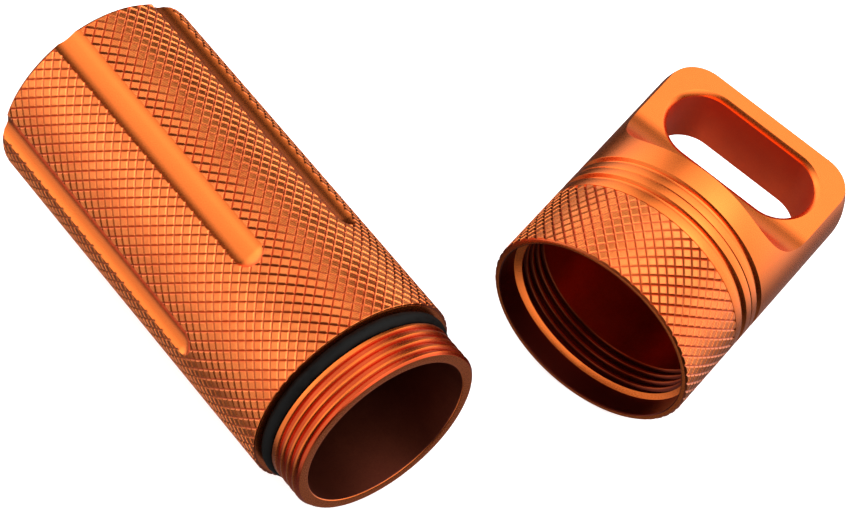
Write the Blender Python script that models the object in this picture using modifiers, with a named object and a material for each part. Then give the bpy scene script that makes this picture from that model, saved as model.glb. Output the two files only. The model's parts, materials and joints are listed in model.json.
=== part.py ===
"""Opened first aid capsule: a threaded tube with its O-ring, and the screw cap lying beside it.

The tube lies along +X with its neck at the +X end. The cap lies next to it, its open end towards
the neck. Both rest on the plane Z = 0. All lengths are in metres and all angles in degrees.
"""

import math

import bmesh
import bpy
from mathutils import Matrix, Vector

# Facets round every turned surface, and the edge angle above which shading stays sharp
STEPS = 72
HALF_STEP = math.pi / STEPS
SHARP_ANGLE = math.radians(28.0)

# Colour, roughness and metallic value
ANODISED = ((0.80, 0.24, 0.045), 0.34, 1.0)
RUBBER = ((0.012, 0.012, 0.013), 0.55, 0.0)

# Tube
BARREL_RADIUS = 0.018
BARREL_LENGTH = 0.0694
TUBE_LENGTH = 0.0784
BASE_CHAMFER = 0.0006
SHOULDER_CHAMFER = 0.0004
BORE_RADIUS = 0.0142
FLOOR_THICKNESS = 0.003
FLOOR_CHAMFER = 0.001
LIP_INNER_CHAMFER = 0.0003
LIP_OUTER_CHAMFER = 0.00045

# Thread shared by neck and cap
PITCH = 0.0015
THREAD_DEPTH = 0.0009
GROOVE_FLAT = 0.0002
FLANK_SLOPE = math.tan(math.radians(30.0))
CUTTER_PROUD = 0.00013
FADED_CLEARANCE = 0.00008

# Neck
NECK_RADIUS = 0.01635
NECK_THREAD_START = -0.0003
NECK_THREAD_TURNS = 3.7

# O-ring and its seat
SEAT_RADIUS = 0.0149
SEAT_END = 0.0723
RING_RADIUS = 0.0161
RING_SECTION_RADIUS = 0.0009
RING_HEIGHT = 0.0706
RING_SECTION_STEPS = 12

# Flutes
FLUTE_COUNT = 6
FLUTE_ANGLE = 109.0
FLUTE_DEPTH = 0.0011
FLUTE_CUTTER_RADIUS = 0.0037
FLUTE_CUTTER_TAIL = -0.003
FLUTE_TIP = 0.0520
FLUTE_CUTTER_STEPS = 40

# Cap
CAP_RADIUS = 0.018
CAP_LENGTH = 0.0478
CAP_LIP_CHAMFER = 0.00035
CAP_LIP_INNER = 0.0173
COUNTERBORE_RADIUS = 0.0169
COUNTERBORE_DEPTH = 0.0035
CAP_BORE_RADIUS = 0.0157
BEVEL_END = 0.0042
CAP_THREAD_START = 0.0036
CAP_THREAD_TURNS = 4.4
RELIEF_START = 0.0114
RELIEF_RADIUS = 0.0150
CAVITY_DEPTH = 0.021
CAVITY_CHAMFER = 0.001
KNURL_END = 0.0133
LINE_AT = 0.0177
LINE_HALF_WIDTH = 0.00012
LINE_DEPTH = 0.00015
RING_GROOVES = (0.0156, 0.0197)
RING_GROOVE_HALF_WIDTH = 0.00065
RING_GROOVE_DEPTH = 0.0006
GROOVE_WALL_SHARE = 0.8
GROOVE_FLOOR_SHARE = 0.5
CAP_CORNER_RADIUS = 0.0051
CAP_CORNER_STEPS = 6

# Lanyard tab of the cap
TAB_HALF_THICKNESS = 0.0067
RUNOUT_RADIUS = 0.0095
RUNOUT_START = 0.0337
RUNOUT_STEPS = 10
SLOT_CENTRE = 0.0386
SLOT_HALF_LENGTH = 0.0133
SLOT_HALF_WIDTH = 0.0060
SLOT_CHAMFER = 0.0007
SLOT_END_STEPS = 14
CUTTER_MARGIN = 0.002

# Arrangement: the cap's mouth centre seen from the tube's mouth centre, and how the cap lies
CAP_OFFSET = Vector((0.00214, 0.0368, 0.0))
CAP_YAW = -72.8
CAP_ROLL = -10.0
READY_GAP = 0.004


def new_collection(name, hidden=False):
    collection = bpy.data.collections.new(name)
    collection.hide_render = hidden
    bpy.context.scene.collection.children.link(collection)
    return collection


def clear_scene():
    for obj in list(bpy.data.objects):
        bpy.data.objects.remove(obj, do_unlink=True)
    for collection in list(bpy.data.collections):
        bpy.data.collections.remove(collection)


def make_material(name, colour, roughness, metallic):
    material = bpy.data.materials.new(name)
    material.use_nodes = True
    shader = material.node_tree.nodes["Principled BSDF"]
    shader.inputs["Base Color"].default_value = (*colour, 1.0)
    shader.inputs["Roughness"].default_value = roughness
    shader.inputs["Metallic"].default_value = metallic
    return material


def object_from(bm, name, collection):
    mesh = bpy.data.meshes.new(name)
    bm.to_mesh(mesh)
    bm.free()
    obj = bpy.data.objects.new(name, mesh)
    collection.objects.link(obj)
    return obj


def as_cutter(obj):
    obj.hide_render = True
    obj.display_type = "WIRE"
    return obj


def turned(name, profile, collection, steps=STEPS):
    """Turn a profile of (radius, height) about local Z. The facets face the axes, not the corners."""
    half = math.pi / steps
    bm = bmesh.new()
    points = [bm.verts.new((r * math.cos(half), r * math.sin(half), z)) for r, z in profile]
    for first, second in zip(points, points[1:]):
        bm.edges.new((first, second))
    obj = object_from(bm, name, collection)
    screw = obj.modifiers.new("Turn", "SCREW")
    screw.axis = "Z"
    screw.angle = math.tau
    screw.steps = steps
    screw.render_steps = steps
    screw.use_merge_vertices = True
    screw.merge_threshold = 1e-6
    screw.use_normal_calculate = False
    return obj


def arc(centre, radius, start, end, steps):
    """Points of (radius, height) on an arc between two angles in degrees."""
    angles = [math.radians(start + (end - start) * i / steps) for i in range(steps + 1)]
    return [(centre[0] + radius * math.cos(a), centre[1] + radius * math.sin(a)) for a in angles]


def loft(rings, name, collection):
    """Skin rings of points with equal counts and cap both ends."""
    bm = bmesh.new()
    rows = [[bm.verts.new(point) for point in ring] for ring in rings]
    for lower, upper in zip(rows, rows[1:]):
        count = len(lower)
        for i in range(count):
            j = (i + 1) % count
            bm.faces.new((lower[i], lower[j], upper[j], upper[i]))
    bm.faces.new(rows[0][::-1])
    bm.faces.new(rows[-1])
    bmesh.ops.recalc_face_normals(bm, faces=bm.faces)
    return object_from(bm, name, collection)


def thread_cutter(name, crest, inward, start, turns, collection):
    """A helical cutter for a V groove, which climbs from the height start and fades out at its end.

    crest is the radius of the surface that is cut. inward is +1 for a groove cut towards the axis
    and -1 for one cut away from it. The groove fades out over its last half turn.
    """
    rings = []
    count = round(turns * STEPS)
    fade_from = count - STEPS // 2
    narrow = GROOVE_FLAT / 2
    for i in range(count + 1):
        angle = HALF_STEP + i * math.tau / STEPS
        fade = max(0.0, (i - fade_from) / (STEPS / 2))
        depth = THREAD_DEPTH * (1.0 - fade) - FADED_CLEARANCE * fade
        wide = narrow + FLANK_SLOPE * (depth + CUTTER_PROUD)
        root = crest - inward * depth
        top = crest + inward * CUTTER_PROUD
        z = start + i * PITCH / STEPS
        section = ((root, z - narrow), (root, z + narrow), (top, z + wide), (top, z - wide))
        rings.append([(r * math.cos(angle), r * math.sin(angle), h) for r, h in section])
    return as_cutter(loft(rings, name, collection))


def cut_and_shade(obj, cutters):
    """Take each cutter away in turn, bake the result, and shade it smooth except at sharp edges."""
    for cutter in cutters:
        boolean = obj.modifiers.new(cutter.name, "BOOLEAN")
        boolean.operation = "DIFFERENCE"
        boolean.solver = "EXACT"
        boolean.object = cutter
    bpy.context.view_layer.update()
    graph = bpy.context.evaluated_depsgraph_get()
    obj.data = bpy.data.meshes.new_from_object(obj.evaluated_get(graph))
    obj.modifiers.clear()
    obj.data.name = obj.name
    obj.data.shade_smooth()
    obj.data.set_sharp_from_angle(angle=SHARP_ANGLE)


def tube_profile():
    top = TUBE_LENGTH
    core = NECK_RADIUS
    return [
        (0.0, FLOOR_THICKNESS),
        (BORE_RADIUS - FLOOR_CHAMFER, FLOOR_THICKNESS),
        (BORE_RADIUS, FLOOR_THICKNESS + FLOOR_CHAMFER),
        (BORE_RADIUS, top - LIP_INNER_CHAMFER),
        (BORE_RADIUS + LIP_INNER_CHAMFER, top),
        (core - LIP_OUTER_CHAMFER, top),
        (core, top - LIP_OUTER_CHAMFER),
        (core, SEAT_END),
        (SEAT_RADIUS, SEAT_END),
        (SEAT_RADIUS, BARREL_LENGTH),
        (BARREL_RADIUS - SHOULDER_CHAMFER, BARREL_LENGTH),
        (BARREL_RADIUS, BARREL_LENGTH - SHOULDER_CHAMFER),
        (BARREL_RADIUS, BASE_CHAMFER),
        (BARREL_RADIUS - BASE_CHAMFER, 0.0),
        (0.0, 0.0),
    ]


def flute_profile():
    """A ball-ended cutter, its round end up."""
    above = FLUTE_CUTTER_RADIUS - FLUTE_DEPTH
    centre = FLUTE_TIP - math.sqrt(FLUTE_CUTTER_RADIUS**2 - above**2)
    ball = arc((0.0, centre), FLUTE_CUTTER_RADIUS, 90.0, 0.0, FLUTE_CUTTER_STEPS // 4)
    tail = [(FLUTE_CUTTER_RADIUS, FLUTE_CUTTER_TAIL), (0.0, FLUTE_CUTTER_TAIL)]
    return [(0.0, ball[0][1]), *ball[1:], *tail]


def flute_cutters(cutters):
    distance = BARREL_RADIUS - FLUTE_DEPTH + FLUTE_CUTTER_RADIUS
    made = []
    for i in range(FLUTE_COUNT):
        cutter = as_cutter(turned(f"flute_cutter_{i}", flute_profile(), cutters, FLUTE_CUTTER_STEPS))
        angle = math.radians(FLUTE_ANGLE + i * 360.0 / FLUTE_COUNT)
        cutter.matrix_world = Matrix.Rotation(angle, 4, "Z") @ Matrix.Translation((distance, 0, 0))
        made.append(cutter)
    return made


def neck_thread_cutter(cutters):
    """Drawn from the mouth downwards and turned over, which leaves it right-handed."""
    thread = thread_cutter(
        "neck_thread_cutter", NECK_RADIUS, 1, NECK_THREAD_START, NECK_THREAD_TURNS, cutters
    )
    thread.matrix_world = Matrix.Translation((0, 0, TUBE_LENGTH)) @ Matrix.Rotation(math.pi, 4, "X")
    return thread


def build_tube(parts, cutters, material):
    tube = turned("capsule_body", tube_profile(), parts)
    tube.data.materials.append(material)
    tools = [*flute_cutters(cutters), neck_thread_cutter(cutters)]
    cut_and_shade(tube, tools)
    return tube, tools


def build_ring(parts, material):
    bpy.ops.mesh.primitive_torus_add(
        major_radius=RING_RADIUS,
        minor_radius=RING_SECTION_RADIUS,
        major_segments=STEPS,
        minor_segments=RING_SECTION_STEPS,
    )
    ring = bpy.context.object
    ring.name = "o_ring"
    ring.data.name = "o_ring"
    for collection in list(ring.users_collection):
        collection.objects.unlink(ring)
    parts.objects.link(ring)
    ring.data.shade_smooth()
    ring.data.materials.append(material)
    ring.matrix_world = Matrix.Translation((0, 0, RING_HEIGHT)) @ Matrix.Rotation(HALF_STEP, 4, "Z")
    return ring


def groove(centre, half_width, depth):
    """A round-bottomed groove in the cap's side, read from the tab end to the mouth."""
    wall = CAP_RADIUS - GROOVE_WALL_SHARE * depth
    floor = GROOVE_FLOOR_SHARE * half_width
    return [
        (CAP_RADIUS, centre + half_width),
        (wall, centre + floor),
        (CAP_RADIUS - depth, centre),
        (wall, centre - floor),
        (CAP_RADIUS, centre - half_width),
    ]


def cap_profile():
    """From the tab end down the outer side to the mouth, then up the inside."""
    corner = (CAP_RADIUS - CAP_CORNER_RADIUS, CAP_LENGTH - CAP_CORNER_RADIUS)
    profile = [(0.0, CAP_LENGTH)]
    profile += arc(corner, CAP_CORNER_RADIUS, 90.0, 0.0, CAP_CORNER_STEPS)
    profile += groove(RING_GROOVES[1], RING_GROOVE_HALF_WIDTH, RING_GROOVE_DEPTH)
    profile += [
        (CAP_RADIUS, LINE_AT + LINE_HALF_WIDTH),
        (CAP_RADIUS - LINE_DEPTH, LINE_AT),
        (CAP_RADIUS, LINE_AT - LINE_HALF_WIDTH),
    ]
    profile += groove(RING_GROOVES[0], RING_GROOVE_HALF_WIDTH, RING_GROOVE_DEPTH)
    profile += [
        (CAP_RADIUS, KNURL_END + LINE_HALF_WIDTH),
        (CAP_RADIUS - LINE_DEPTH, KNURL_END),
        (CAP_RADIUS, KNURL_END - LINE_HALF_WIDTH),
        (CAP_RADIUS, CAP_LIP_CHAMFER),
        (CAP_RADIUS - CAP_LIP_CHAMFER, 0.0),
        (CAP_LIP_INNER, 0.0),
        (COUNTERBORE_RADIUS, CAP_LIP_INNER - COUNTERBORE_RADIUS),
        (COUNTERBORE_RADIUS, COUNTERBORE_DEPTH),
        (CAP_BORE_RADIUS, BEVEL_END),
        (CAP_BORE_RADIUS, RELIEF_START),
        (RELIEF_RADIUS, RELIEF_START + CAP_BORE_RADIUS - RELIEF_RADIUS),
        (RELIEF_RADIUS, CAVITY_DEPTH - CAVITY_CHAMFER),
        (RELIEF_RADIUS - CAVITY_CHAMFER, CAVITY_DEPTH),
        (0.0, CAVITY_DEPTH),
    ]
    return profile


def flat_cutter(collection):
    """The two flats of the tab, each with a rounded run-out into the round of the cap."""
    centre = (RUNOUT_START, TAB_HALF_THICKNESS + RUNOUT_RADIUS)
    runout = arc(centre, RUNOUT_RADIUS, 270.0, 180.0, RUNOUT_STEPS)
    top = CAP_RADIUS + CUTTER_MARGIN
    end = CAP_LENGTH + CUTTER_MARGIN
    outline = [(end, TAB_HALF_THICKNESS), *runout, (runout[-1][0], top), (end, top)]
    rings = [[(x, y, z) for z, y in outline] for x in (-top, top)]
    cutter = as_cutter(loft(rings, "flat_cutter", collection))
    mirror = cutter.modifiers.new("Both sides", "MIRROR")
    mirror.use_axis = (False, True, False)
    mirror.use_clip = False
    mirror.use_mirror_merge = False
    return cutter


def slot_outline(grow):
    """The oblong outline of the slot as (across, height), made larger by grow."""
    radius = SLOT_HALF_WIDTH + grow
    straight = SLOT_HALF_LENGTH - SLOT_HALF_WIDTH
    right = arc((straight, SLOT_CENTRE), radius, -90.0, 90.0, SLOT_END_STEPS)
    left = arc((-straight, SLOT_CENTRE), radius, 90.0, 270.0, SLOT_END_STEPS)
    return right + left


def slot_cutter(collection):
    """The slot, flared at both faces of the tab to leave a chamfer."""
    inner = TAB_HALF_THICKNESS - SLOT_CHAMFER
    outer = TAB_HALF_THICKNESS + CUTTER_MARGIN
    flare = SLOT_CHAMFER + CUTTER_MARGIN
    levels = ((-outer, flare), (-inner, 0.0), (inner, 0.0), (outer, flare))
    rings = [[(x, y, z) for x, z in slot_outline(grow)] for y, grow in levels]
    return as_cutter(loft(rings, "slot_cutter", collection))


def build_cap(parts, cutters, material):
    cap = turned("screw_cap", cap_profile(), parts)
    cap.data.materials.append(material)
    thread = thread_cutter(
        "cap_thread_cutter", CAP_BORE_RADIUS, -1, CAP_THREAD_START, CAP_THREAD_TURNS, cutters
    )
    tools = [flat_cutter(cutters), slot_cutter(cutters), thread]
    cut_and_shade(cap, tools)
    return cap, tools


def place(objects, matrix):
    for obj in objects:
        obj.matrix_world = matrix @ obj.matrix_world


def resting_height():
    """Height of the axis of a piece that lies on one of its facets."""
    return BARREL_RADIUS * math.cos(HALF_STEP)


def tube_matrix():
    """Local Z to +X, local X to +Y and local Y to +Z, with the mouth centre above the origin."""
    turn = Matrix(((0, 0, 1, 0), (1, 0, 0, 0), (0, 1, 0, 0), (0, 0, 0, 1)))
    return Matrix.Translation((-TUBE_LENGTH, 0, resting_height())) @ turn


def cap_matrix():
    """Local Z runs from the mouth to the tab, local X across the tab and local Y out of its flat."""
    yaw = math.radians(CAP_YAW)
    mouth = Vector((math.cos(yaw), math.sin(yaw), 0.0))
    across = Vector((-mouth.y, mouth.x, 0.0))
    up = Vector((0.0, 0.0, 1.0))
    roll = math.radians(CAP_ROLL)
    flat = -math.sin(roll) * across + math.cos(roll) * up
    back = -mouth
    side = flat.cross(back)
    turn = Matrix((side, flat, back)).transposed().to_4x4()
    return Matrix.Translation(CAP_OFFSET + Vector((0, 0, resting_height()))) @ turn


def swing_pivot():
    """The point about which the cap turns, as seen from above, to face the neck across a small gap."""
    turn = math.radians(180.0 + CAP_YAW)
    swing = Matrix.Rotation(-turn, 2)
    start = CAP_OFFSET.to_2d()
    end = Vector((READY_GAP, 0.0))
    pivot = (Matrix.Identity(2) - swing).inverted() @ (end - swing @ start)
    return Vector((pivot.x, pivot.y, 0.0))


def centre_offset(objects):
    """The move that puts the middle of the footprint at the origin and the lowest point at Z = 0."""
    bpy.context.view_layer.update()
    points = [obj.matrix_world @ vertex.co for obj in objects for vertex in obj.data.vertices]
    low = Vector([min(point[i] for point in points) for i in range(3)])
    high = Vector([max(point[i] for point in points) for i in range(3)])
    return Vector((-(low.x + high.x) / 2, -(low.y + high.y) / 2, -low.z))


def main():
    clear_scene()
    parts = new_collection("first_aid_capsule")
    cutters = new_collection("cutters", hidden=True)
    tube, tube_tools = build_tube(parts, cutters, make_material("tube_anodised", *ANODISED))
    ring = build_ring(parts, make_material("ring_rubber", *RUBBER))
    cap, cap_tools = build_cap(parts, cutters, make_material("cap_anodised", *ANODISED))

    place([tube, ring, *tube_tools], tube_matrix())
    place([cap, *cap_tools], cap_matrix())
    move = Matrix.Translation(centre_offset([tube, ring, cap]))
    place([tube, ring, *tube_tools, cap, *cap_tools], move)

    pivot = bpy.data.objects.new("cap_swing_axis", None)
    pivot.empty_display_size = CAP_RADIUS / 2
    parts.objects.link(pivot)
    pivot.matrix_world = move @ Matrix.Translation(swing_pivot())
    bpy.context.view_layer.update()
    for obj in (cap, *cap_tools):
        obj.parent = pivot
        obj.matrix_parent_inverse = pivot.matrix_world.inverted()


main()
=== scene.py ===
"""Looks of the opened first aid capsule: knurled and fluted tube, sealing ring and screw cap.

Each piece is built in its own frame, with local Z on its turning axis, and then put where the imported
model has it. Lengths are in metres.
"""

import json
import math

import bpy
import numpy as np
from mathutils import Matrix, Vector

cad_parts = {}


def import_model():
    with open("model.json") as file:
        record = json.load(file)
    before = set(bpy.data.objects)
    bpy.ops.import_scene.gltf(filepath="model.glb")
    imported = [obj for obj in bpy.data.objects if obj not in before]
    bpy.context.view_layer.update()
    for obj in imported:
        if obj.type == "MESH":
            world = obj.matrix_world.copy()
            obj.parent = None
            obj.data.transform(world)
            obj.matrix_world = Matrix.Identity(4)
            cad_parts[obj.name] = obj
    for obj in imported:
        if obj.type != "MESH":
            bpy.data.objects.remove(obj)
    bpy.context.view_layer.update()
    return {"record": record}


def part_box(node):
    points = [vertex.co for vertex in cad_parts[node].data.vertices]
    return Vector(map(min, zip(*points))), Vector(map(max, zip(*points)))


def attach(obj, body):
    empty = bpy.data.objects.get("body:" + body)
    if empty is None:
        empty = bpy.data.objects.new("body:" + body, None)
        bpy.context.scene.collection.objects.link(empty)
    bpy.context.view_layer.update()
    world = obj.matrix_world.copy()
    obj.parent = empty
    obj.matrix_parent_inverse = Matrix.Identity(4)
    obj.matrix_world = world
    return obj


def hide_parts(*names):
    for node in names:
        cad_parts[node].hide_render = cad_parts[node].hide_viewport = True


MM = 0.001

# Facets round a turned surface, round one turn of a thread and round a flute's cutter, and along arcs
STEPS = 240
THREAD_STEPS = 216
CUTTER_STEPS = 96
BALL_STEPS = 24
CORNER_STEPS = 16
RUNOUT_STEPS = 32
SLOT_STEPS = 32

# The most of an edge that one rounded corner may take
LONGEST_REACH = 0.49

# Shared by tube and cap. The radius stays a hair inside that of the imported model's facets.
RADIUS = 17.97 * MM
KNURL_AROUND = 55
KNURL_STRETCH = 1.024
KNURL_DEPTH = 0.2 * MM
KNURL_GROOVE = 0.21 * MM
KNURL_BREAK = 0.05 * MM
BARREL_CHAMFER = 0.08 * MM
CAP_CHAMFER = 0.3 * MM
TURNING_LINE = 0.29 * MM
PITCH = 1.5 * MM
THREAD_DEPTH = 0.55 * MM
THREAD_ROOT = 0.55 * MM
THREAD_BREAK = 0.05 * MM
THREAD_LIFT = 0.08 * MM
THREAD_LEAST_FLANK = 0.01 * MM
FLANK_SLOPE = math.tan(math.radians(30.0))
SHARP_ANGLE = math.radians(24.0)

# The knurl is a sleeve that overlaps a core below it. It is made too long and then trimmed, and it
# ends a hair short so that no two faces coincide.
CORE_BELOW = 0.36 * MM
SLEEVE_INNER = 0.7 * MM
SLEEVE_SETBACK = 0.02 * MM
TRIM_LENGTH = 2.0 * MM
TRIM_HEIGHT = 0.5 * MM

# How far from a surface a face may be and still belong to it: on a flat or a stud's top, on facets of
# a round, at a rounded edge, and beyond a run-out or a floor
NEAR = 0.01 * MM
FACET_SAG = 0.02 * MM
EDGE = 0.05 * MM
MARGIN = 0.1 * MM

# Tube, heights from its base
BARREL_LENGTH = 69.4 * MM
TUBE_LENGTH = 78.4 * MM
NECK_RADIUS = 16.35 * MM
NECK_CHAMFER = 0.45 * MM
BORE_RADIUS = 14.2 * MM
TUBE_FLOOR = 3.0 * MM
BASE_CHAMFER = 0.7 * MM
SEAT_RADIUS = 14.9 * MM
SEAT_END = 71.9 * MM
RING_RADIUS = 16.1 * MM
RING_HEIGHT = 70.6 * MM
RING_SECTION = 0.9 * MM
RING_HALF_WIDTH = 1.1 * MM
RING_STEPS = 240
RING_SECTION_STEPS = 32
PARTING_BEAD = 0.012 * MM
NECK_THREAD_START = -0.3 * MM
NECK_THREAD_TURNS = 4.1
FLUTE_COUNT = 6
FLUTE_ANGLE = 109.0
FLUTE_DEPTH = 1.1 * MM
FLUTE_RADIUS = 3.7 * MM
FLUTE_TIP = 52.0 * MM
FLUTE_BOTTOM = -3.0 * MM
FLUTE_AXIS = RADIUS - FLUTE_DEPTH + FLUTE_RADIUS
FLUTE_BALL = FLUTE_TIP - math.sqrt(FLUTE_RADIUS**2 - (FLUTE_RADIUS - FLUTE_DEPTH) ** 2)

# Cap, heights from its mouth
CAP_LENGTH = 47.8 * MM
KNURL_END = 13.3 * MM
RING_GROOVES = (15.6 * MM, 19.7 * MM)
RING_GROOVE_HALF_WIDTH = 0.65 * MM
RING_GROOVE_DEPTH = 0.6 * MM
LINE_AT = 17.7 * MM
LINE_HALF_WIDTH = 0.12 * MM
LINE_DEPTH = 0.12 * MM
CAP_CORNER_RADIUS = 5.1 * MM
COUNTERBORE_RADIUS = 16.9 * MM
COUNTERBORE_DEPTH = 3.75 * MM
CAP_BORE_RADIUS = 15.7 * MM
BEVEL_END = 4.25 * MM
CAP_THREAD_START = 3.7 * MM
CAP_THREAD_TURNS = 4.4
CAVITY_DEPTH = 21.0 * MM
TAB_HALF_THICKNESS = 6.7 * MM
RUNOUT_RADIUS = 9.5 * MM
RUNOUT_START = 33.7 * MM
SLOT_CENTRE = 38.6 * MM
SLOT_HALF_LENGTH = 13.3 * MM
SLOT_HALF_WIDTH = 6.0 * MM
SLOT_CHAMFER = 0.7 * MM
TAB_MOUNT_HEIGHT = 46.5 * MM

# Camera: its direction from the tube's mouth, roll, distance, shift to the right and up, and lens
VIEW_AZIMUTH = 48.635
VIEW_ELEVATION = 53.626
VIEW_ROLL = 6.46
VIEW_DISTANCE = 600.0 * MM
VIEW_RIGHT = 5.80 * MM
VIEW_UP = 26.43 * MM
VIEW_LENS = 170.0

# Material slots of the two metal pieces
TURNED, KNURLED, MILLED, BORED, THREADED, FACED = range(6)
SLOT_WALL = 4

# Colours of the anodised finishes and of the rubber. Some stand in for light: painted shade, a painted
# highlight and painted bounce light, as noted at each.
SATIN_LIGHT = (0.92, 0.192, 0.032)
SATIN_DARK = (0.90, 0.182, 0.030)
# The knurl's colours: their tone differs at random, and they are paler than the satin finish as a painted
# highlight for whiter glints on the studs
KNURL_LIGHT = (1.00, 0.280, 0.066)
KNURL_DARK = (0.66, 0.110, 0.024)
# Painted shade: a darker colour at the bottom of the knurl's grooves
KNURL_GROOVE_PAINTED_SHADE = (0.50, 0.095, 0.027)
# Painted shade: a darker colour at the roots of the neck's thread
THREAD_ROOT_PAINTED_SHADE = (0.66, 0.085, 0.022)
# Painted shade: a nearly black colour at the roots of the cap's inner thread
BORED_ROOT_PAINTED_SHADE = (0.16, 0.022, 0.010)
# Painted shade: the cap's bore is given a darker copy of the finish
CAP_BORE_SHADE_LIGHT = (0.60, 0.105, 0.030)
CAP_BORE_SHADE_DARK = (0.50, 0.080, 0.024)
# Painted bounce light: the slot's wall is given a redder copy of the finish, for light bouncing inside the
# slot
SLOT_BOUNCE_LIGHT = (0.96, 0.130, 0.036)
SLOT_BOUNCE_DARK = (0.90, 0.110, 0.032)
# Painted shade: the tube's bore is given a nearly black copy of the finish
TUBE_BORE_SHADE_LIGHT = (0.20, 0.045, 0.022)
TUBE_BORE_SHADE_DARK = (0.16, 0.034, 0.018)
RUBBER_DARK = (0.003, 0.0028, 0.0026)
RUBBER_DUSTY = (0.008, 0.0075, 0.007)

# Noise in the surfaces: features per metre, the height of the grain, and the spans it is ramped over
CLOUD_SCALE = 260.0
UNEVEN_SCALE = 2200.0
SPECKLE_SCALE = 3500.0
SCRATCH_SCALE = 5200.0
GRAIN_SCALE = 9000.0
GRAIN_HEIGHT = 0.0015 * MM
RUBBER_CLOUD_SCALE = 700.0
RUBBER_GRAIN_SCALE = 6000.0
RUBBER_GRAIN_HEIGHT = 0.01 * MM
SPAN = (0.35, 0.65)
WIDE_SPAN = (0.3, 0.7)

# Soft lights: azimuth, elevation, how far their feathered edge reaches, and strength. All of them are
# at full strength inside the core. Angles are in degrees.
LIGHTS = {
    "back wall": (165.0, 0.0, 50.0, 1.9),
    "ceiling": (170.0, 68.0, 42.0, 1.8),
    "right window": (100.0, 50.0, 50.0, 2.1),
    "left window": (285.0, 25.0, 52.0, 2.0),
    "front wall": (335.0, 0.0, 52.0, 0.9),
    "front reflector": (22.0, -22.0, 32.0, 1.4),
    "table bounce": (180.0, -75.0, 60.0, 0.2),
}
LIGHT_CORE = 10.0
FLOOR_HALF = 2.0
FLOOR_WHITE = 0.95
FLOOR_GLOW = 0.7


# Shapes


def fillet(corners, steps=5):
    """An outline of (radius, height) from corners of (radius, height, rounding)."""
    outline = []
    for i, (r, z, rounding) in enumerate(corners):
        if rounding == 0.0 or i in (0, len(corners) - 1):
            outline.append((r, z))
            continue
        corner = Vector((r, z))
        before = Vector(corners[i - 1][:2]) - corner
        after = Vector(corners[i + 1][:2]) - corner
        half = before.angle(after) / 2
        reach = min(rounding / math.tan(half), LONGEST_REACH * before.length, LONGEST_REACH * after.length)
        radius = reach * math.tan(half)
        middle = (before.normalized() + after.normalized()).normalized()
        centre = corner + middle * (reach / math.cos(half))
        start = corner + before.normalized() * reach - centre
        end = corner + after.normalized() * reach - centre
        sweep = start.angle(end)
        for k in range(steps + 1):
            t = k / steps
            way = (math.sin((1 - t) * sweep) * start + math.sin(t * sweep) * end) / math.sin(sweep)
            outline.append(tuple(centre + way * (radius / way.length)))
    return outline


def arc(centre, radius, start, end, steps):
    """Points along an arc, from and to angles in degrees."""
    angles = [math.radians(start + (end - start) * i / steps) for i in range(steps + 1)]
    return [(centre[0] + radius * math.cos(a), centre[1] + radius * math.sin(a)) for a in angles]


def mesh_object(name, points, faces):
    mesh = bpy.data.meshes.new(name)
    mesh.from_pydata(points, [], faces)
    mesh.validate()
    obj = bpy.data.objects.new(name, mesh)
    bpy.context.scene.collection.objects.link(obj)
    return obj


def lathe(name, outline, steps=STEPS):
    """A closed turned solid. The outline starts and ends on the axis and runs down the outer side."""
    points = []
    rings = []
    for r, z in outline:
        if r == 0.0:
            rings.append([len(points)] * steps)
            points.append((0.0, 0.0, z))
            continue
        rings.append(list(range(len(points), len(points) + steps)))
        for i in range(steps):
            angle = math.tau * i / steps
            points.append((r * math.cos(angle), r * math.sin(angle), z))
    faces = []
    for upper, lower in zip(rings, rings[1:]):
        for i in range(steps):
            j = (i + 1) % steps
            face = (lower[i], lower[j], upper[j], upper[i])
            faces.append(tuple(dict.fromkeys(face)))
    return mesh_object(name, points, faces)


def stud(add, corners, centre, z, rise, turn):
    """The faces of one stud of the knurl: its sloping sides, its broken edges and its top."""
    loops = [corners]
    for groove, radius in (
        (KNURL_GROOVE - KNURL_BREAK / 2, RADIUS - KNURL_BREAK),
        (KNURL_GROOVE + KNURL_BREAK / 2, RADIUS),
    ):
        inset = groove * math.sqrt(2.0)
        up = rise - inset
        side = turn - inset / RADIUS
        loops.append(
            [
                add(radius, centre, z - up),
                add(radius, centre + side, z),
                add(radius, centre, z + up),
                add(radius, centre - side, z),
            ]
        )
    faces = []
    for outer, inner in zip(loops, loops[1:]):
        for k in range(4):
            n = (k + 1) % 4
            faces.append((outer[k], outer[n], inner[n], inner[k]))
    return [*faces, tuple(loops[-1])]


def sleeve_back(add, points, bottom, top, turn):
    """The faces of the sleeve's two ends and of its inner side."""
    count = len(bottom)
    inner = RADIUS - SLEEVE_INNER
    rims = [[add(inner, q * turn, points[edge[q]][2]) for q in range(count)] for edge in (bottom, top)]
    faces = []
    for q in range(count):
        n = (q + 1) % count
        faces.append((bottom[n], bottom[q], rims[0][q], rims[0][n]))
        faces.append((top[q], top[n], rims[1][n], rims[1][q]))
        faces.append((rims[0][q], rims[1][q], rims[1][n], rims[0][n]))
    return faces


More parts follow.
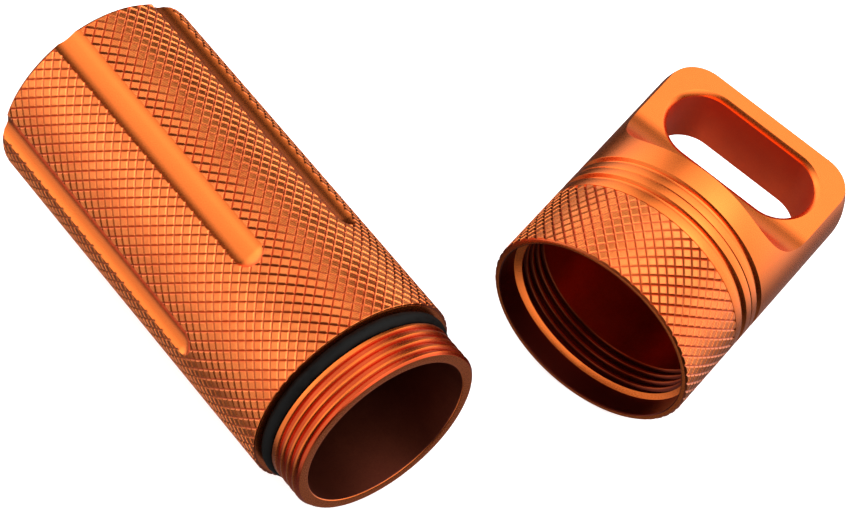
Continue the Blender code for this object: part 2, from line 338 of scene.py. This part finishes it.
def knurl_sleeve(name, low, high):
    """A closed sleeve whose outer side is a diamond knurl of flat-topped studs between V grooves."""
    around = KNURL_AROUND
    rows = round((high - low) / (KNURL_STRETCH * math.pi * RADIUS / around)) - 1
    rise = (high - low) / (rows + 1)
    turn = math.pi / around
    points = []

    def add(radius, angle, z):
        points.append((radius * math.cos(angle), radius * math.sin(angle), z))
        return len(points) - 1

    root = []
    for level in range(rows + 2):
        z = low + level * rise
        root.append([add(RADIUS - KNURL_DEPTH, (2 * i + level % 2) * turn, z) for i in range(around)])
    faces = []
    for row in range(rows):
        odd = row % 2
        for j in range(around):
            corners = [root[row][j], root[row + 1][(j + odd) % around], root[row + 2][j]]
            corners.append(root[row + 1][(j + odd - 1) % around])
            faces += stud(add, corners, (2 * j + odd) * turn, low + (row + 1) * rise, rise, turn)
    bottom = [root[q % 2][q // 2] for q in range(2 * around)]
    top = [root[rows + 1 - (q + rows + 1) % 2][q // 2] for q in range(2 * around)]
    faces += sleeve_back(add, points, bottom, top, turn)
    return mesh_object(name, points, faces)


def knurl(name, low, high, bottom_chamfer, top_chamfer):
    """A knurled sleeve trimmed square or with a chamfer at each end."""
    sleeve = knurl_sleeve(name, low - TRIM_LENGTH, high + TRIM_LENGTH)
    wide = RADIUS + TRIM_HEIGHT
    outline = [(0.0, high)]
    if top_chamfer:
        outline += [(RADIUS - top_chamfer, high), (wide, high - top_chamfer - TRIM_HEIGHT)]
    else:
        outline += [(wide, high)]
    if bottom_chamfer:
        outline += [(wide, low + bottom_chamfer + TRIM_HEIGHT), (RADIUS - bottom_chamfer, low)]
    else:
        outline += [(wide, low)]
    combine(sleeve, lathe("band", [*outline, (0.0, low)]), "INTERSECT")
    return sleeve


def loft(name, rings):
    """A closed skin over rings of points with equal counts, with flat ends. Its faces point outwards."""
    count = len(rings[0])
    points = [point for ring in rings for point in ring]
    faces = [tuple(range(count))[::-1], tuple(range(len(points) - count, len(points)))]
    for row in range(len(rings) - 1):
        for i in range(count):
            j = (i + 1) % count
            base = row * count
            faces.append((base + i, base + j, base + count + j, base + count + i))
    obj = mesh_object(name, points, faces)
    fans = [(f[0], f[k], f[k + 1]) for f in faces for k in range(1, len(f) - 1)]
    if np.linalg.det(np.array(points)[np.array(fans)]).sum() < 0:
        obj.data.flip_normals()
    return obj


def thread_cutter(name, crest, inward, start, turns):
    """A helical V groove with broken crests, which fades out over its last quarter turn."""
    rings = []
    count = round(turns * THREAD_STEPS)
    fade_steps = THREAD_STEPS // 4
    narrow = THREAD_ROOT / 2
    for i in range(count + 1):
        angle = math.tau * i / THREAD_STEPS
        fade = max(0.0, (i - count + fade_steps) / fade_steps)
        depth = THREAD_DEPTH * (1.0 - fade) - THREAD_LIFT * fade
        flank = max(depth - THREAD_BREAK, THREAD_LEAST_FLANK)
        wide = narrow + FLANK_SLOPE * flank
        flare = wide + 2.0 * THREAD_BREAK
        half = [(depth, narrow), (depth - flank, wide), (-THREAD_BREAK, flare)]
        section = [(depth, -narrow), *half, (-THREAD_BREAK, -flare), (depth - flank, -wide)]
        z = start + i * PITCH / THREAD_STEPS
        ring = []
        for down, across in section:
            r = crest - inward * down
            ring.append((r * math.cos(angle), r * math.sin(angle), z + across))
        rings.append(ring)
    return loft(name, rings)


def combine(obj, other, operation):
    boolean = obj.modifiers.new(operation, "BOOLEAN")
    boolean.operation = operation
    boolean.solver = "MANIFOLD"
    boolean.object = other
    graph = bpy.context.evaluated_depsgraph_get()
    mesh = bpy.data.meshes.new_from_object(obj.evaluated_get(graph))
    if not mesh.polygons:
        raise SystemExit(f"{obj.name}: the Boolean with {other.name} left nothing")
    obj.modifiers.clear()
    obj.data = mesh
    bpy.data.objects.remove(other)


def tube_outline():
    core = RADIUS - CORE_BELOW
    top = TUBE_LENGTH
    return fillet(
        [
            (0.0, TUBE_FLOOR, 0.0),
            (BORE_RADIUS, TUBE_FLOOR, 1.2 * MM),
            (BORE_RADIUS, top, 0.25 * MM),
            (NECK_RADIUS - NECK_CHAMFER, top, 0.08 * MM),
            (NECK_RADIUS, top - NECK_CHAMFER, 0.08 * MM),
            (NECK_RADIUS, SEAT_END, 0.12 * MM),
            (SEAT_RADIUS, SEAT_END, 0.1 * MM),
            (SEAT_RADIUS, BARREL_LENGTH, 0.1 * MM),
            (core - 0.1 * MM, BARREL_LENGTH, 0.06 * MM),
            (core, BARREL_LENGTH - 0.1 * MM, 0.0),
            (core, BASE_CHAMFER + 0.06 * MM, 0.0),
            (RADIUS - 0.03 * MM, BASE_CHAMFER - 0.04 * MM, 0.04 * MM),
            (RADIUS - BASE_CHAMFER, 0.0, 0.1 * MM),
            (0.0, 0.0, 0.0),
        ]
    )


def flute_outline():
    """Half the outline of a ball-ended cutter, with its round end up."""
    ball = arc((0.0, FLUTE_BALL), FLUTE_RADIUS, 90.0, 0.0, BALL_STEPS)
    return [(0.0, ball[0][1]), *ball[1:], (FLUTE_RADIUS, FLUTE_BOTTOM), (0.0, FLUTE_BOTTOM)]


def cut_flutes(tube):
    for i in range(FLUTE_COUNT):
        cutter = lathe(f"flute_{i}", flute_outline(), CUTTER_STEPS)
        angle = math.radians(FLUTE_ANGLE + i * 360.0 / FLUTE_COUNT)
        cutter.data.transform(Matrix.Rotation(angle, 4, "Z") @ Matrix.Translation((FLUTE_AXIS, 0, 0)))
        combine(tube, cutter, "DIFFERENCE")


def build_tube():
    tube = lathe("tube_shell", tube_outline())
    sleeve = knurl("tube_knurl", BASE_CHAMFER, BARREL_LENGTH - SLEEVE_SETBACK, 0.0, BARREL_CHAMFER)
    combine(tube, sleeve, "UNION")
    cut_flutes(tube)
    thread = thread_cutter("neck_thread", NECK_RADIUS, 1, NECK_THREAD_START, NECK_THREAD_TURNS)
    thread.data.transform(Matrix.Translation((0, 0, TUBE_LENGTH)) @ Matrix.Rotation(math.pi, 4, "X"))
    combine(tube, thread, "DIFFERENCE")
    return tube


def cap_groove(centre, half_width, depth):
    return [
        (RADIUS, centre + half_width, 0.08 * MM),
        (RADIUS - depth, centre + 0.35 * half_width, 0.12 * MM),
        (RADIUS - depth, centre - 0.35 * half_width, 0.12 * MM),
        (RADIUS, centre - half_width, 0.08 * MM),
    ]


def cap_outline():
    core = RADIUS - CORE_BELOW
    corners = [(0.0, CAP_LENGTH, 0.0)]
    centre = (RADIUS - CAP_CORNER_RADIUS, CAP_LENGTH - CAP_CORNER_RADIUS)
    corners += [(r, z, 0.0) for r, z in arc(centre, CAP_CORNER_RADIUS, 90.0, 0.0, CORNER_STEPS)]
    corners += cap_groove(RING_GROOVES[1], RING_GROOVE_HALF_WIDTH, RING_GROOVE_DEPTH)
    corners += [
        (RADIUS, LINE_AT + LINE_HALF_WIDTH, 0.02 * MM),
        (RADIUS - LINE_DEPTH, LINE_AT, 0.0),
        (RADIUS, LINE_AT - LINE_HALF_WIDTH, 0.02 * MM),
    ]
    corners += cap_groove(RING_GROOVES[0], RING_GROOVE_HALF_WIDTH, RING_GROOVE_DEPTH)
    corners += [
        (RADIUS, KNURL_END + 0.08 * MM, 0.04 * MM),
        (core, KNURL_END - 0.12 * MM, 0.0),
        (core, 0.1 * MM, 0.0),
        (core - 0.1 * MM, 0.0, 0.04 * MM),
        (COUNTERBORE_RADIUS + 0.15 * MM, 0.0, 0.05 * MM),
        (COUNTERBORE_RADIUS, 0.15 * MM, 0.05 * MM),
        (COUNTERBORE_RADIUS, COUNTERBORE_DEPTH, 0.05 * MM),
        (CAP_BORE_RADIUS, BEVEL_END, 0.05 * MM),
        (CAP_BORE_RADIUS, CAVITY_DEPTH, 1.0 * MM),
        (0.0, CAVITY_DEPTH, 0.0),
    ]
    return fillet(corners, 4)


def flat_cutter(side):
    """Takes one flat of the tab, with a rounded run-out into the round of the cap."""
    centre = (RUNOUT_START, TAB_HALF_THICKNESS + RUNOUT_RADIUS)
    runout = arc(centre, RUNOUT_RADIUS, 270.0, 180.0, RUNOUT_STEPS)
    top = RADIUS + 2 * MM
    end = CAP_LENGTH + 2 * MM
    outline = [(end, TAB_HALF_THICKNESS), *runout, (runout[-1][0], top), (end, top)]
    return loft(f"flat_{side}", [[(x, side * y, z) for z, y in outline] for x in (-top, top)])


def slot_outline(grow):
    radius = SLOT_HALF_WIDTH + grow
    straight = SLOT_HALF_LENGTH - SLOT_HALF_WIDTH
    right = arc((straight, SLOT_CENTRE), radius, -90.0, 90.0, SLOT_STEPS)
    left = arc((-straight, SLOT_CENTRE), radius, 90.0, 270.0, SLOT_STEPS)
    return right + left


def slot_cutter():
    """The slot, with a chamfer that is slightly rounded where it meets the flats and the wall."""
    half = TAB_HALF_THICKNESS
    levels = [
        (half + 1.0 * MM, SLOT_CHAMFER + 1.2 * MM),
        (half + 0.02 * MM, SLOT_CHAMFER + 0.1 * MM),
        (half - 0.08 * MM, SLOT_CHAMFER - 0.06 * MM),
        (half - SLOT_CHAMFER + 0.1 * MM, 0.12 * MM),
        (half - SLOT_CHAMFER - 0.1 * MM, 0.0),
    ]
    rings = [(-y, grow) for y, grow in levels] + [(y, grow) for y, grow in reversed(levels)]
    return loft("slot", [[(x, y, z) for x, z in slot_outline(grow)] for y, grow in rings])


def build_cap():
    cap = lathe("cap_shell", cap_outline())
    sleeve = knurl("cap_knurl", SLEEVE_SETBACK, KNURL_END - 2 * SLEEVE_SETBACK, CAP_CHAMFER, 0.0)
    combine(cap, sleeve, "UNION")
    for side in (1, -1):
        combine(cap, flat_cutter(side), "DIFFERENCE")
    combine(cap, slot_cutter(), "DIFFERENCE")
    thread = thread_cutter("cap_thread", CAP_BORE_RADIUS, -1, CAP_THREAD_START, CAP_THREAD_TURNS)
    combine(cap, thread, "DIFFERENCE")
    return cap


def build_ring():
    """The sealing ring, slightly flattened in its groove, with the faint parting line of its mould."""
    points = []
    faces = []
    for i in range(RING_STEPS):
        angle = math.tau * i / RING_STEPS
        n = (i + 1) % RING_STEPS
        for j in range(RING_SECTION_STEPS):
            turn = math.tau * j / RING_SECTION_STEPS
            bead = PARTING_BEAD if j in (0, RING_SECTION_STEPS // 2) else 0.0
            r = RING_RADIUS + (RING_SECTION - PARTING_BEAD + bead) * math.cos(turn)
            z = RING_HEIGHT + RING_HALF_WIDTH * math.sin(turn)
            points.append((r * math.cos(angle), r * math.sin(angle), z))
            m = (j + 1) % RING_SECTION_STEPS
            loop = ((i, j), (n, j), (n, m), (i, m))
            faces.append(tuple(a * RING_SECTION_STEPS + b for a, b in loop))
    ring = mesh_object("seal_ring", points, faces)
    ring.data.shade_smooth()
    return ring


def numbers(collection, name, kind, width=1):
    """One property of every item of a mesh collection, as an array."""
    values = np.empty(len(collection) * width, kind)
    collection.foreach_get(name, values)
    return values if width == 1 else values.reshape(-1, width)


def shade(obj, knurl_low, knurl_high):
    """Smooth shading with sharp edges. The tops of the knurl's studs get the normals of the round."""
    mesh = obj.data
    mesh.shade_smooth()
    mesh.set_sharp_from_angle(angle=SHARP_ANGLE)
    height = numbers(mesh.polygons, "center", np.float32, 3)[:, 2]
    vertices = numbers(mesh.vertices, "co", np.float32, 3)
    corners = numbers(mesh.loops, "vertex_index", np.int32)
    starts = numbers(mesh.polygons, "loop_start", np.int32)
    totals = numbers(mesh.polygons, "loop_total", np.int32)
    normals = np.array([n.vector for n in mesh.corner_normals], np.float32)
    radius = np.hypot(vertices[:, 0], vertices[:, 1])
    lowest = np.minimum.reduceat(radius[corners], starts)
    on_top = (lowest > RADIUS - NEAR) & (height > knurl_low) & (height < knurl_high)
    on_top = np.repeat(on_top, totals)
    outward = vertices[corners]
    outward[:, 2] = 0.0
    outward /= np.maximum(np.linalg.norm(outward, axis=1, keepdims=True), 1e-9)
    normals[on_top] = outward[on_top]
    mesh.normals_split_custom_set(normals.tolist())


# Materials


class Nodes:
    """Short ways to add and join shader nodes in one material."""

    def __init__(self, name):
        self.material = bpy.data.materials.new(name)
        self.material.use_nodes = True
        self.tree = self.material.node_tree
        self.shader = self.tree.nodes["Principled BSDF"]

    def add(self, kind, **settings):
        node = self.tree.nodes.new(kind)
        for key, value in settings.items():
            setattr(node, key, value)
        return node

    def link(self, source, target):
        self.tree.links.new(source, target)

    def math(self, operation, first, second=None):
        node = self.add("ShaderNodeMath", operation=operation)
        for socket, value in zip(node.inputs, (first, second)):
            if value is None:
                continue
            if isinstance(value, (int, float)):
                socket.default_value = value
            else:
                self.link(value, socket)
        return node.outputs[0]

    def noise(self, vector, scale, detail=2.0, dimensions="3D"):
        node = self.add("ShaderNodeTexNoise", noise_dimensions=dimensions)
        node.inputs["Scale"].default_value = scale
        node.inputs["Detail"].default_value = detail
        self.link(vector, node.inputs["W" if dimensions == "1D" else "Vector"])
        return node.outputs["Fac"]

    def ramp(self, value, low, high, to_low, to_high):
        node = self.add("ShaderNodeMapRange", clamp=True)
        self.link(value, node.inputs["Value"])
        for key, number in (("From Min", low), ("From Max", high), ("To Min", to_low), ("To Max", to_high)):
            node.inputs[key].default_value = number
        return node.outputs["Result"]

    def mix(self, factor, first, second):
        """From first to second, each a colour or a socket, as factor goes from 0 to 1."""
        node = self.add("ShaderNodeMix", data_type="RGBA")
        self.link(factor, node.inputs["Factor"])
        for socket, colour in (("A", first), ("B", second)):
            if isinstance(colour, tuple):
                node.inputs[socket].default_value = (*colour, 1.0)
            else:
                self.link(colour, node.inputs[socket])
        return node.outputs["Result"]

    def blend(self, first, second):
        """The mean of two values."""
        return self.math("ADD", self.math("MULTIPLY", first, 0.5), self.math("MULTIPLY", second, 0.5))

    def bump(self, height, distance, strength=1.0, normal=None):
        node = self.add("ShaderNodeBump")
        node.inputs["Distance"].default_value = distance
        node.inputs["Strength"].default_value = strength
        self.link(height, node.inputs["Height"])
        if normal is not None:
            self.link(normal, node.inputs["Normal"])
        return node.outputs["Normal"]


def axis_distance(nodes, separate):
    """Distance from the turning axis."""
    x = nodes.math("MULTIPLY", separate.outputs["X"], separate.outputs["X"])
    y = nodes.math("MULTIPLY", separate.outputs["Y"], separate.outputs["Y"])
    return nodes.math("SQRT", nodes.math("ADD", x, y))


def turning_lines(nodes, along, where):
    """Fine feed lines of a turning tool, uneven in height."""
    wave = nodes.math("SINE", nodes.math("MULTIPLY", along, math.tau / TURNING_LINE))
    uneven = nodes.noise(where, UNEVEN_SCALE, 2.0)
    return nodes.math("MULTIPLY", wave, nodes.ramp(uneven, *SPAN, 0.1, 0.5))


def anodised(name, roughness, light, dark, scratch=0.0, feed=0.0, groove=None):
    """Orange anodised aluminium. scratch and feed are the heights of the fine and the coarser turning
    lines that run round the axis. groove is a darker colour and the distances from the axis where it
    is full and where it ends: painted shade at the bottom of grooves."""
    nodes = Nodes(name)
    where = nodes.add("ShaderNodeAttribute", attribute_name="own_place").outputs["Vector"]
    separate = nodes.add("ShaderNodeSeparateXYZ")
    nodes.link(where, separate.inputs[0])
    height = separate.outputs["Z"]
    distance = axis_distance(nodes, separate)
    grain = nodes.noise(where, GRAIN_SCALE, 2.0)
    speckle = nodes.noise(where, SPECKLE_SCALE, 2.0)
    tone = nodes.blend(nodes.noise(where, CLOUD_SCALE, 3.0), speckle)
    normal = nodes.bump(grain, GRAIN_HEIGHT)
    if scratch:
        along = nodes.math("ADD", height, distance)
        normal = nodes.bump(nodes.noise(along, SCRATCH_SCALE, 1.0, "1D"), scratch, 1.0, normal)
    if feed:
        lines = turning_lines(nodes, height, where)
        tone = nodes.math("ADD", tone, nodes.math("MULTIPLY", lines, 0.9))
        normal = nodes.bump(lines, feed, 1.0, normal)
        normal = nodes.bump(speckle, feed, 1.0, normal)
    colour = nodes.mix(nodes.ramp(tone, *SPAN, 0.0, 1.0), dark, light)
    if groove is not None:
        # Painted shade: darker towards the bottom of the groove, by distance from the axis
        shadow, full, end = groove
        colour = nodes.mix(nodes.ramp(distance, full, end, 0.0, 1.0), shadow, colour)
    satin = nodes.ramp(grain, *WIDE_SPAN, roughness - 0.04, roughness + 0.05)
    nodes.link(colour, nodes.shader.inputs["Base Color"])
    nodes.link(satin, nodes.shader.inputs["Roughness"])
    nodes.link(normal, nodes.shader.inputs["Normal"])
    nodes.shader.inputs["Metallic"].default_value = 1.0
    nodes.shader.inputs["Coat Weight"].default_value = 0.1
    nodes.shader.inputs["Coat Roughness"].default_value = 0.35
    return nodes.material


def rubber(name):
    """Black rubber with a dusty, uneven sheen."""
    nodes = Nodes(name)
    where = nodes.add("ShaderNodeAttribute", attribute_name="own_place").outputs["Vector"]
    cloud = nodes.noise(where, RUBBER_CLOUD_SCALE, 3.0)
    grain = nodes.noise(where, RUBBER_GRAIN_SCALE, 2.0)
    colour = nodes.mix(nodes.ramp(cloud, *SPAN, 0.0, 1.0), RUBBER_DARK, RUBBER_DUSTY)
    nodes.link(colour, nodes.shader.inputs["Base Color"])
    nodes.link(nodes.ramp(cloud, *WIDE_SPAN, 0.5, 0.75), nodes.shader.inputs["Roughness"])
    nodes.link(nodes.bump(grain, RUBBER_GRAIN_HEIGHT, 0.6), nodes.shader.inputs["Normal"])
    nodes.shader.inputs["Specular IOR Level"].default_value = 0.12
    return nodes.material


def paint(obj, materials, pick):
    """Give obj its materials. pick returns the slot of each face, from all centres and normals."""
    obj.data.materials.clear()
    for material in materials:
        obj.data.materials.append(material)
    centres = numbers(obj.data.polygons, "center", np.float32, 3)
    normals = numbers(obj.data.polygons, "normal", np.float32, 3)
    obj.data.polygons.foreach_set("material_index", pick(centres, normals).astype(np.int32))


def tube_slots(centres, normals):
    """The material slot of each of the tube's faces. Later rules override earlier ones."""
    height = centres[:, 2]
    radius = np.hypot(centres[:, 0], centres[:, 1])
    outward = (centres[:, :2] * normals[:, :2]).sum(axis=1)
    slots = np.full(len(centres), TURNED)
    knurled = (height > BASE_CHAMFER + NEAR) & (height < BARREL_LENGTH)
    slots[(radius > RADIUS - CORE_BELOW) & knurled] = KNURLED
    slots[height < NEAR] = FACED
    slots[on_flute(centres, radius) & (height < FLUTE_TIP + 1.0 * MM)] = MILLED
    # Painted shade: the tube's bore gets the darkened finish
    slots[(outward < 0) & (radius < BORE_RADIUS + EDGE)] = BORED
    neck = (radius > BORE_RADIUS + 0.8 * MM) & (radius < NECK_RADIUS + NEAR)
    slots[neck & (height > SEAT_END) & (height < TUBE_LENGTH - NEAR)] = THREADED
    return slots


def on_flute(centres, radius):
    """Which faces lie on the wall of the nearest flute or on its round end."""
    angle = np.degrees(np.arctan2(centres[:, 1], centres[:, 0])) - FLUTE_ANGLE
    pitch = 360.0 / FLUTE_COUNT
    off = np.radians(np.abs((angle + pitch / 2) % pitch - pitch / 2))
    across = radius * np.sin(off)
    out = radius * np.cos(off) - FLUTE_AXIS
    past = np.maximum(centres[:, 2] - FLUTE_BALL, 0.0)
    return np.abs(np.sqrt(across**2 + out**2 + past**2) - FLUTE_RADIUS) < FACET_SAG


def cap_slots(centres, normals):
    """The material slot of each of the cap's faces. Later rules override earlier ones."""
    height = centres[:, 2]
    radius = np.hypot(centres[:, 0], centres[:, 1])
    slots = np.full(len(centres), TURNED)
    slots[(radius > RADIUS - CORE_BELOW) & (height < KNURL_END)] = KNURLED
    tab = height > RUNOUT_START - RUNOUT_RADIUS - MARGIN
    slots[tab & (radius < RADIUS - FACET_SAG)] = MILLED
    off_flat = np.abs(normals[:, 1]) < 0.995
    crown = (height > CAP_LENGTH - CAP_CORNER_RADIUS) & off_flat
    slots[crown & (np.abs(centres[:, 1]) < TAB_HALF_THICKNESS - NEAR)] = TURNED
    along = np.maximum(np.abs(centres[:, 0]) - (SLOT_HALF_LENGTH - SLOT_HALF_WIDTH), 0.0)
    # Painted bounce light: the slot's wall gets the redder finish
    slots[np.hypot(along, height - SLOT_CENTRE) < SLOT_HALF_WIDTH + EDGE] = SLOT_WALL
    inside = (radius < CAP_BORE_RADIUS + 1.5 * MM) & (height < CAVITY_DEPTH + MARGIN)
    # Painted shade: the cap's cavity gets the darkened finish
    slots[inside] = BORED
    mouthward = normals[:, 2] < -0.5
    slots[mouthward & (radius < COUNTERBORE_RADIUS - EDGE) & (height < BEVEL_END)] = TURNED
    return slots


# Placing


def put(obj, matrix):
    """Move the mesh itself, and keep its own coordinates in an attribute for the materials."""
    own = obj.data.attributes.new("own_place", "FLOAT_VECTOR", "POINT")
    own.data.foreach_set("vector", numbers(obj.data.vertices, "co", np.float32, 3).ravel())
    obj.data.transform(matrix)


def tube_frame():
    """Local Z runs from the base to the mouth and local X is world +Y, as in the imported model."""
    low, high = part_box("capsule_body")
    turn = Matrix(((0, 0, 1, 0), (1, 0, 0, 0), (0, 1, 0, 0), (0, 0, 0, 1)))
    return Matrix.Translation((low.x, (low.y + high.y) / 2, (low.z + high.z) / 2)) @ turn


def cap_frame(record):
    """Local Z runs from the mouth to the tab and local Y out of its upper flat, from the two mounts."""
    mounts = {mount["name"]: mount for mount in record["mounts"]}
    flat = Vector(mounts["tab_upper_flat"]["axis"]).normalized()
    back = Vector((0, 0, 1)).cross(flat).normalized()
    side = flat.cross(back)
    middle = Vector(mounts["tab_upper_flat"]["pos_m"]) + Vector(mounts["tab_lower_flat"]["pos_m"])
    mouth = middle / 2 - back * TAB_MOUNT_HEIGHT
    turn = Matrix((side, flat, back)).transposed().to_4x4()
    return Matrix.Translation(mouth) @ turn


# Studio


def towards(azimuth, elevation):
    """The direction from the object to something at that azimuth and elevation, in degrees."""
    a, e = math.radians(azimuth), math.radians(elevation)
    return Vector((math.sin(a) * math.cos(e), -math.cos(a) * math.cos(e), math.sin(e)))


def table():
    """A pale, plain floor. Only the camera sees it: it isn't reflected, and it casts no shadow."""
    signs = ((-1, -1), (1, -1), (1, 1), (-1, 1))
    corners = [(x * FLOOR_HALF, y * FLOOR_HALF, 0.0) for x, y in signs]
    floor = mesh_object("floor", corners, [(0, 1, 2, 3)])
    nodes = Nodes("floor_paper")
    nodes.shader.inputs["Base Color"].default_value = (FLOOR_WHITE, FLOOR_WHITE, FLOOR_WHITE, 1.0)
    nodes.shader.inputs["Roughness"].default_value = 0.9
    nodes.shader.inputs["Emission Color"].default_value = (1.0, 1.0, 1.0, 1.0)
    nodes.shader.inputs["Emission Strength"].default_value = FLOOR_GLOW
    floor.data.materials.append(nodes.material)
    floor.visible_glossy = False
    floor.visible_diffuse = False
    floor.visible_shadow = False


def light(tree, where, azimuth, elevation, reach, strength):
    """The brightness that one round soft light adds in every direction."""
    dot = tree.nodes.new("ShaderNodeVectorMath")
    dot.operation = "DOT_PRODUCT"
    tree.links.new(where, dot.inputs[0])
    dot.inputs[1].default_value = towards(azimuth, elevation)
    edge = tree.nodes.new("ShaderNodeMapRange")
    edge.interpolation_type = "SMOOTHSTEP"
    edge.inputs["From Min"].default_value = math.cos(math.radians(reach))
    edge.inputs["From Max"].default_value = math.cos(math.radians(LIGHT_CORE))
    edge.inputs["To Max"].default_value = strength
    tree.links.new(dot.outputs["Value"], edge.inputs["Value"])
    return edge.outputs["Result"]


def studio():
    """The world: soft lights with feathered edges on a studio's walls and ceiling."""
    world = bpy.data.worlds.new("studio")
    world.use_nodes = True
    tree = world.node_tree
    where = tree.nodes.new("ShaderNodeTexCoord").outputs["Generated"]
    total = None
    for settings in LIGHTS.values():
        glow = light(tree, where, *settings)
        if total is not None:
            add = tree.nodes.new("ShaderNodeMath")
            tree.links.new(total, add.inputs[0])
            tree.links.new(glow, add.inputs[1])
            glow = add.outputs[0]
        total = glow
    tree.links.new(total, tree.nodes["Background"].inputs["Strength"])
    tree.nodes["Background"].inputs["Color"].default_value = (1.0, 1.0, 1.0, 1.0)
    bpy.context.scene.world = world


def camera():
    """The view is measured from the middle of the tube's mouth."""
    low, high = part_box("capsule_body")
    mouth = Vector((high.x, (low.y + high.y) / 2, (low.z + high.z) / 2))
    roll = math.radians(VIEW_ROLL)
    back = towards(VIEW_AZIMUTH, VIEW_ELEVATION)
    level = towards(VIEW_AZIMUTH + 90.0, 0.0)
    upright = back.cross(level)
    right = math.cos(roll) * level + math.sin(roll) * upright
    up = math.cos(roll) * upright - math.sin(roll) * level
    data = bpy.data.cameras.new("camera")
    data.lens = VIEW_LENS
    data.sensor_width = 36.0
    data.clip_start = 0.05
    data.clip_end = 10.0
    obj = bpy.data.objects.new("camera", data)
    bpy.context.scene.collection.objects.link(obj)
    obj.location = mouth + VIEW_RIGHT * right + VIEW_UP * up + VIEW_DISTANCE * back
    obj.rotation_mode = "QUATERNION"
    obj.rotation_quaternion = Matrix((right, up, back)).transposed().to_quaternion()
    bpy.context.scene.camera = obj


def finishes():
    """The anodised finishes of the two metal pieces, by name. The two bore finishes are darkened copies,
    painted shade, and the slot's finish is a redder copy, painted bounce light.
    """
    satin = (SATIN_LIGHT, SATIN_DARK)
    # Painted shade at the bottoms of the knurl's grooves and at the roots of the two threads
    knurl_groove_shade = (KNURL_GROOVE_PAINTED_SHADE, RADIUS - 0.8 * KNURL_DEPTH, RADIUS - KNURL_BREAK)
    neck_root_shade = (THREAD_ROOT_PAINTED_SHADE, NECK_RADIUS - 0.25 * MM, NECK_RADIUS - 0.02 * MM)
    bored_root_shade = (BORED_ROOT_PAINTED_SHADE, CAP_BORE_RADIUS + 0.25 * MM, CAP_BORE_RADIUS + 0.02 * MM)
    return {
        "turned": anodised("anodised_turned", 0.27, *satin, 0.0006 * MM),
        "knurled": anodised(
            "anodised_knurled", 0.3, KNURL_LIGHT, KNURL_DARK, 0.004 * MM, 0.012 * MM, knurl_groove_shade
        ),
        "threaded": anodised("anodised_threaded", 0.27, *satin, 0.001 * MM, groove=neck_root_shade),
        "milled": anodised("anodised_milled", 0.27, *satin),
        "faced": anodised("anodised_faced", 0.3, *satin, 0.004 * MM),
        # Painted bounce light: a redder copy of the finish for the slot's wall
        "slot": anodised("anodised_slot_bounce", 0.5, SLOT_BOUNCE_LIGHT, SLOT_BOUNCE_DARK),
        # Painted shade: a darker copy of the finish for the cap's bore
        "bored": anodised("anodised_bored_shade", 0.32, CAP_BORE_SHADE_LIGHT, CAP_BORE_SHADE_DARK, 0.003 * MM, groove=bored_root_shade),
        # Painted shade: a nearly black copy of the finish for the tube's bore
        "bore_shade": anodised("anodised_deep", 0.45, TUBE_BORE_SHADE_LIGHT, TUBE_BORE_SHADE_DARK, 0.008 * MM),
    }


def add_tube(metal):
    tube = build_tube()
    shade(tube, BASE_CHAMFER, BARREL_LENGTH)
    slots = ("turned", "knurled", "milled", "bore_shade", "threaded", "faced")
    paint(tube, [metal[name] for name in slots], tube_slots)
    put(tube, tube_frame())
    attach(tube, "tube")
    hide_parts("capsule_body")
    return tube


def add_ring():
    ring = build_ring()
    ring.data.materials.append(rubber("ring_rubber_fine"))
    put(ring, tube_frame())
    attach(ring, "tube")
    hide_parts("o_ring")
    return ring


def add_cap(metal, record):
    cap = build_cap()
    shade(cap, 0.0, KNURL_END)
    slots = ("turned", "knurled", "milled", "bored", "slot")
    paint(cap, [metal[name] for name in slots], cap_slots)
    put(cap, cap_frame(record))
    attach(cap, "cap")
    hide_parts("screw_cap")
    return cap


def main():
    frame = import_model()

    metal = finishes()
    for piece in (add_tube(metal), add_ring(), add_cap(metal, frame["record"])):
        print(piece.name, sum(len(f.vertices) - 2 for f in piece.data.polygons), "triangles")

    table()
    studio()
    camera()
    bpy.context.scene.view_settings.view_transform = "Standard"


main()
